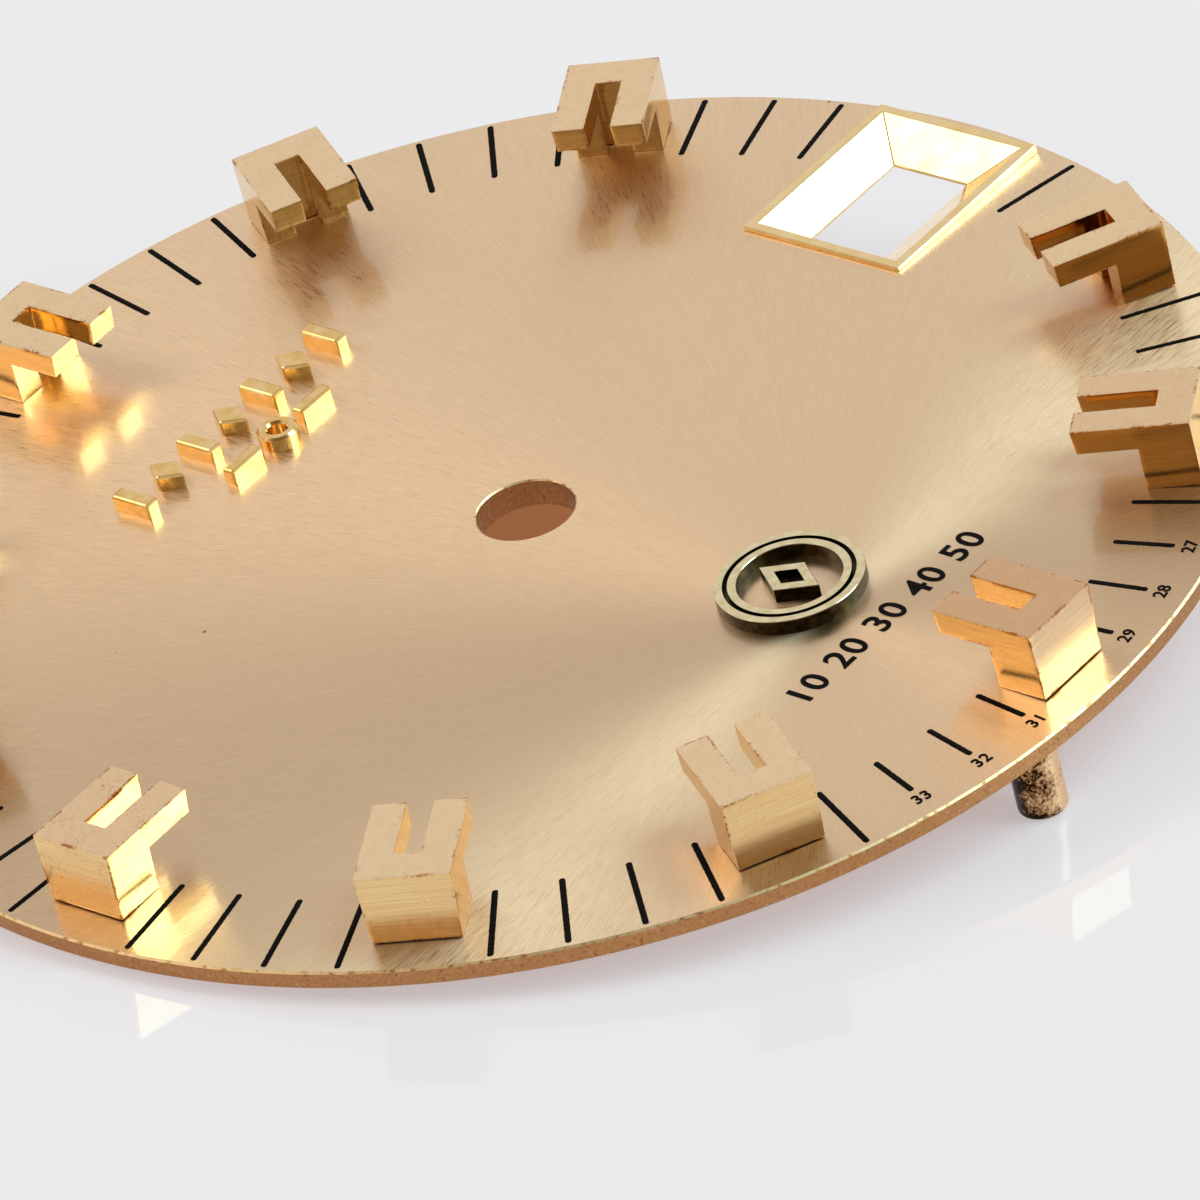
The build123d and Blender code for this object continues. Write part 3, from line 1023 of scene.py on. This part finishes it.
def prism(name, node, outline):
    """Low prism in a node's box, from just below the face. Its outline runs from -1 to 1."""
    x, y, half_width, half_length, top = middle_of(node)
    outline = [(x + a * half_width, y + b * half_length) for a, b in outline]
    lower = [(a, b, face_height(a, b) - seat_depth) for a, b in outline]
    upper = [(a, b, top) for a, b in outline]
    count = len(outline)
    faces = [(i, (i + 1) % count, count + (i + 1) % count, count + i) for i in range(count)]
    faces.append(tuple(range(count, 2 * count)))
    mesh = mesh_from(name, lower + upper, faces)
    mesh.materials.append(ornament_gold)
    piece = new_piece(name, mesh, node, slot="ornament_gold")
    round_edges(piece, 0.05 * mm, segments=2, angle=40)


for number in range(1, 8):
    outline = square if number % 2 else lozenge_shape
    prism(f"upper_row_{number}", f"upper_ornament_{number}", outline)
for side in ("left", "right"):
    prism(f"upper_bar_{side}", f"upper_ornament_{side}", square)

x, y, ring_radius, _, top = middle_of("upper_ornament_ring")
ring_hole = 0.2 * mm
ring_edge = 0.05 * mm
foot_of_ring = face_height(x, y) - 0.006 * mm
ring_mesh = mesh_from(
    "upper ring",
    *lathe(
        [
            (ring_radius, foot_of_ring),
            (ring_radius, top - ring_edge),
            (ring_radius - ring_edge, top),
            (ring_hole + ring_edge, top),
            (ring_hole, top - ring_edge),
            (ring_hole, foot_of_ring),
        ],
        steps=96,
        centre=(x, y),
        closed=False,
    ),
)
smooth(ring_mesh, ornament_gold, sharp=30)
new_piece("upper_ring", ring_mesh, "upper_ornament_ring", slot="ornament_gold")
print("upper ornament ready")

# %% [markdown]
# The lower ornament has bright tops and dark grooves, as a blackened engraving has. The grooves are
# modelled, since their walls show. Ring and lozenge share one material for the tops and one for
# everything that lies deeper, chosen by the height of each face.

# %% Finishes of the lower ornament
# Rolled pale gold, wiped after blackening: satin tops, a little cloudy.
pale_gold = cloudy_material(
    "pale rolled gold",
    size=0.18 * mm,
    detail=4.0,
    tones=[(0.35, "E0CC9C"), (0.65, "F0E0B8")],
    depth=0.002 * mm,
    Metallic=1.0,
    Roughness=0.2,
)

# Chemically blackened brass: almost black, with a brown gleam where light grazes it.
groove_dark = cloudy_material(
    "blackened groove",
    size=0.2 * mm,
    detail=3.0,
    tones=[(0.35, "1E1A10"), (0.7, "4A3C22")],
    Metallic=1.0,
    Roughness=0.35,
)

edge = 0.012 * mm


def wiped_after_blackening(mesh, top):
    """Pale gold on the top of a mesh and black on all that lies deeper."""
    mesh.materials.append(pale_gold)
    mesh.materials.append(groove_dark)
    for face in mesh.polygons:
        face.material_index = 0 if face.center.z > top - 1.5 * edge else 1


print("pale tops and black grooves")

# %% Grooved ring
x, y, ring_radius, _, top = middle_of("lower_ornament_ring")
ring_width = 0.44 * mm
groove_width = 0.1 * mm
groove_depth = 0.14 * mm
base = face_height(0, y - ring_radius) - seat_depth
middle = ring_radius - ring_width / 2
ring_mesh = mesh_from(
    "lower ring",
    *lathe(
        [
            (ring_radius, base),
            (ring_radius, top - edge),
            (ring_radius - edge, top),
            (middle + groove_width / 2, top),
            (middle + groove_width / 2, top - groove_depth),
            (middle - groove_width / 2, top - groove_depth),
            (middle - groove_width / 2, top),
            (ring_radius - ring_width + edge, top),
            (ring_radius - ring_width, top - edge),
            (ring_radius - ring_width, base),
        ],
        steps=192,
        centre=(x, y),
        closed=False,
    ),
)
wiped_after_blackening(ring_mesh, top)
smooth(ring_mesh, sharp=30)
new_piece("lower_ring", ring_mesh, "lower_ornament_ring", slot="ornament_gold")
print("ring with a groove", round(groove_width / mm, 2), "mm wide")

# %% Grooved lozenge
x, y, half_width, half_length, top = middle_of("lower_ornament_lozenge")
band = 0.2 * mm


def lozenge(inset, height):
    """Corners of the lozenge, drawn in on every side."""
    slope = hypot(half_width, half_length)
    w = half_width - inset * slope / half_length
    h = half_length - inset * slope / half_width
    return [(x, y - h, height), (x + w, y, height), (x, y + h, height), (x - w, y, height)]


lozenge_mesh = loops_to_mesh(
    "lower lozenge",
    [
        lozenge(0, face_height(x, y) - seat_depth),
        lozenge(0, top - edge),
        lozenge(edge, top),
        lozenge(band, top),
        lozenge(band, top - groove_depth),
        lozenge(band + groove_width, top - groove_depth),
    ],
)
shape = bmesh.new()
shape.from_mesh(lozenge_mesh)
groove_floor = top - 2 * groove_depth
open_edges = [e for e in shape.edges if e.is_boundary and e.verts[0].co.z > groove_floor]
bmesh.ops.holes_fill(shape, edges=open_edges)
shape.to_mesh(lozenge_mesh)
shape.free()
wiped_after_blackening(lozenge_mesh, top)
new_piece("lower_lozenge", lozenge_mesh, "lower_ornament_lozenge", slot="ornament_gold")
print("lozenge", round(2 * half_length / mm, 2), "mm long")

# %% [markdown]
# The minute track is pad printed: a soft pad lays down a thin skin of black ink. Its edges are
# slightly ragged and its ends are blunt. It could be an image on the face. As mesh it stays sharp
# at any distance, and each tick is a little cushion with a crowned top, as wet ink dries.

# %% Printed minute track
# Pad-printing ink: matt and nearly black, with a slightly rough skin.
ink = cloudy_material(
    "pad printed black ink",
    size=0.05 * mm,
    detail=3.0,
    tones=[(0.35, "070504"), (0.7, "17110C")],
    depth=0.004 * mm,
    strength=0.8,
    Roughness=0.8,
    IOR=1.2,
    Specular_IOR_Level=0.3,
)

tick_width = 0.132 * mm
ink_thickness = 0.012 * mm
tick_outer = dial_radius - 0.14 * mm
short_tick_outer = dial_radius - 0.89 * mm
tick_inner = dial_radius - 2.15 * mm
tick_rounding = 0.35 * tick_width
tick_rows = 52
raggedness = 0.2
ragged_size = 0.05 * mm
crown = ((-1, -0.1), (-0.8, 0.75), (0, 1), (0.8, 0.75), (1, -0.1))
points, faces = [], []


def add_tick(angle, start, end):
    """A tick from one radius to another: rows of five points across, crowned in the middle."""
    from_ends = [tick_rounding * share for share in (0, 0.05, 0.2, 0.5)]
    first_row, straight = start + tick_rounding, end - start - 2 * tick_rounding
    middle = [first_row + straight * row / tick_rows for row in range(tick_rows + 1)]
    radii = [start + d for d in from_ends] + middle + [end - d for d in reversed(from_ends)]
    first = len(points)
    for radius in radii:
        from_end = min(radius - start, end - radius, tick_rounding) / tick_rounding
        half = tick_width / 2 - tick_rounding * (1 - sqrt(max(0, 1 - (1 - from_end) ** 2)))
        for place_share, lift in crown:
            where = Vector((radius / ragged_size, angle, place_share * 3))
            ragged = 1 + raggedness * noise.noise(where)
            p = around(angle, radius, place_share * half * ragged)
            points.append((p.x, p.y, face_height(p.x, p.y) + lift * ink_thickness))
    count = len(crown)
    for row in range(len(radii) - 1):
        for i in range(count - 1):
            a = first + row * count + i
            faces.append((a, a + 1, a + count + 1, a + count))


ticks = 0
for minute in range(60):
    angle = minute_angle(minute)
    inner_end = around(angle, tick_inner)
    beside_date = inner_end.x > 0 and abs(inner_end.y) < frame_high[1] + tick_width
    if minute % 5 == 0 or beside_date:
        continue
    end = short_tick_outer if 0 < abs(minute - 30) < 4 else tick_outer
    add_tick(angle, tick_inner, end)
    ticks += 1
track_mesh = mesh_from("minute track", points, faces)
smooth(track_mesh, ink)
new_piece("minute_track", track_mesh, "minute_track_print", slot="black_ink")
print(ticks, "ticks")

# %% [markdown]
# Small plain numbers stand outside the short ticks beside 6 o'clock, and a row of plain numbers
# stands under the lower ornament. They are Blender text, turned into mesh, set straight across the
# radius and laid on the dome, which saves drawing each figure by hand.


# %% Printed numbers
def text_mesh(words, spacing):
    """Flat mesh of some characters, about their middle."""
    curve = bpy.data.curves.new("numbers", "FONT")
    curve.body = words
    curve.size = 1 * mm
    curve.space_character = spacing
    curve.align_x = "CENTER"
    curve.align_y = "CENTER"
    curve.extrude = ink_thickness / 2
    curve.offset = 0.014 * mm
    curve.resolution_u = 6
    holder = put_in_scene("numbers", curve)
    mesh = evaluated_mesh(holder)
    bpy.data.objects.remove(holder)
    return mesh


def print_numbers(name, words, spacing, minute, radius, cap_height):
    """Print some numbers with their tops towards the middle of the dial."""
    mesh = text_mesh(words, spacing)
    ys = [v.co.y for v in mesh.vertices]
    scale = cap_height / (max(ys) - min(ys))
    centre_y = (max(ys) + min(ys)) / 2
    for v in mesh.vertices:
        x, y = v.co.x * scale, (v.co.y - centre_y) * scale
        p = around(minute_angle(minute), radius - y, x)
        height = ink_thickness if v.co.z > 0 else -0.002 * mm
        v.co = (p.x, p.y, face_height(p.x, p.y) + height)
    mesh.materials.clear()
    mesh.materials.append(ink)
    new_piece(name, mesh, slot="black_ink")


small_radius, small_height = 13.92 * mm, 0.28 * mm
row_radius, row_height = 9.05 * mm, 0.62 * mm
for minute in (27, 28, 29, 31, 32, 33):
    print_numbers(f"number_{minute}", str(minute), 1.05, minute, small_radius, small_height)
print_numbers("number_row", "10 20 30 40 50", 1.12, 30, row_radius, row_height)
print("numbers printed")

# %% [markdown]
# The feet are short pins of copper wire, soldered to the back. Handling and old flux left them dark
# and blotched. Their side towards the right soft box is painted lighter and the far side darker, as
# painted light and shade. They are turned like the plate, with a rounded lower end.

# %% Feet
# Drawn copper wire, tarnished: warm light brown with dark, hard-edged blotches.
# Painted light and shade: the side that faces the right soft box is lighter, the far side darker.
lit_side_direction = (0.62, -0.78, 0.4)
tarnished, tree, shader, place = start_material(
    "tarnished copper wire", Metallic=1.0, Roughness=0.32
)
sockets = {"Vector": place, "Scale": 1 / (0.07 * mm), "Detail": 6.0, "Roughness": 0.7}
blotches = add_node(tree, "ShaderNodeTexNoise", sockets)
sockets = {"Vector": place, "Scale": 1 / (0.5 * mm), "Detail": 2.0}
patches = add_node(tree, "ShaderNodeTexNoise", sockets)
sockets = {0: add_node(tree, "ShaderNodeNewGeometry").outputs["True Normal"], 1: lit_side_direction}
painted_light_by_side = add_node(tree, "ShaderNodeVectorMath", sockets, operation="DOT_PRODUCT")
cleanness_and_painted_light = blotches
for pattern, share in ((patches, 0.7), (painted_light_by_side.outputs["Value"], 0.27)):
    sockets = {0: pattern, 1: share, 2: cleanness_and_painted_light}
    cleanness_and_painted_light = add_node(tree, "ShaderNodeMath", sockets, operation="MULTIPLY_ADD")
tint_and_dent(tree, shader, cleanness_and_painted_light, [(0.75, "221206"), (0.81, "8E623C"), (1.0, "F2C898")])
sockets = {"Height": blotches, "Distance": 0.01 * mm, "Strength": 0.6}
set_sockets(shader, {"Normal": add_node(tree, "ShaderNodeBump", sockets)})

foot_radius = (foot_high[0] - foot_low[0]) / 2
foot_round = 0.1 * mm
steps_of_round = 8
for name in ("lower", "upper"):
    x, y, _, _, _ = middle_of(f"dial_foot_{name}")
    profile = [(foot_radius, 0)]
    for step in range(steps_of_round + 1):
        turn = radians(90 * step / steps_of_round)
        inward, down = foot_round * (1 - cos(turn)), foot_round * (1 - sin(turn))
        profile.append((foot_radius - inward, down - foot_length))
    profile.append((0, -foot_length))
    foot_mesh = mesh_from(f"foot {name}", *lathe(profile, 96, (x, y), closed=False))
    smooth(foot_mesh, tarnished)
    new_piece(f"copper_foot_{name}", foot_mesh, f"dial_foot_{name}", slot="foot_copper")
print("feet", round(foot_length / mm, 2), "mm long")
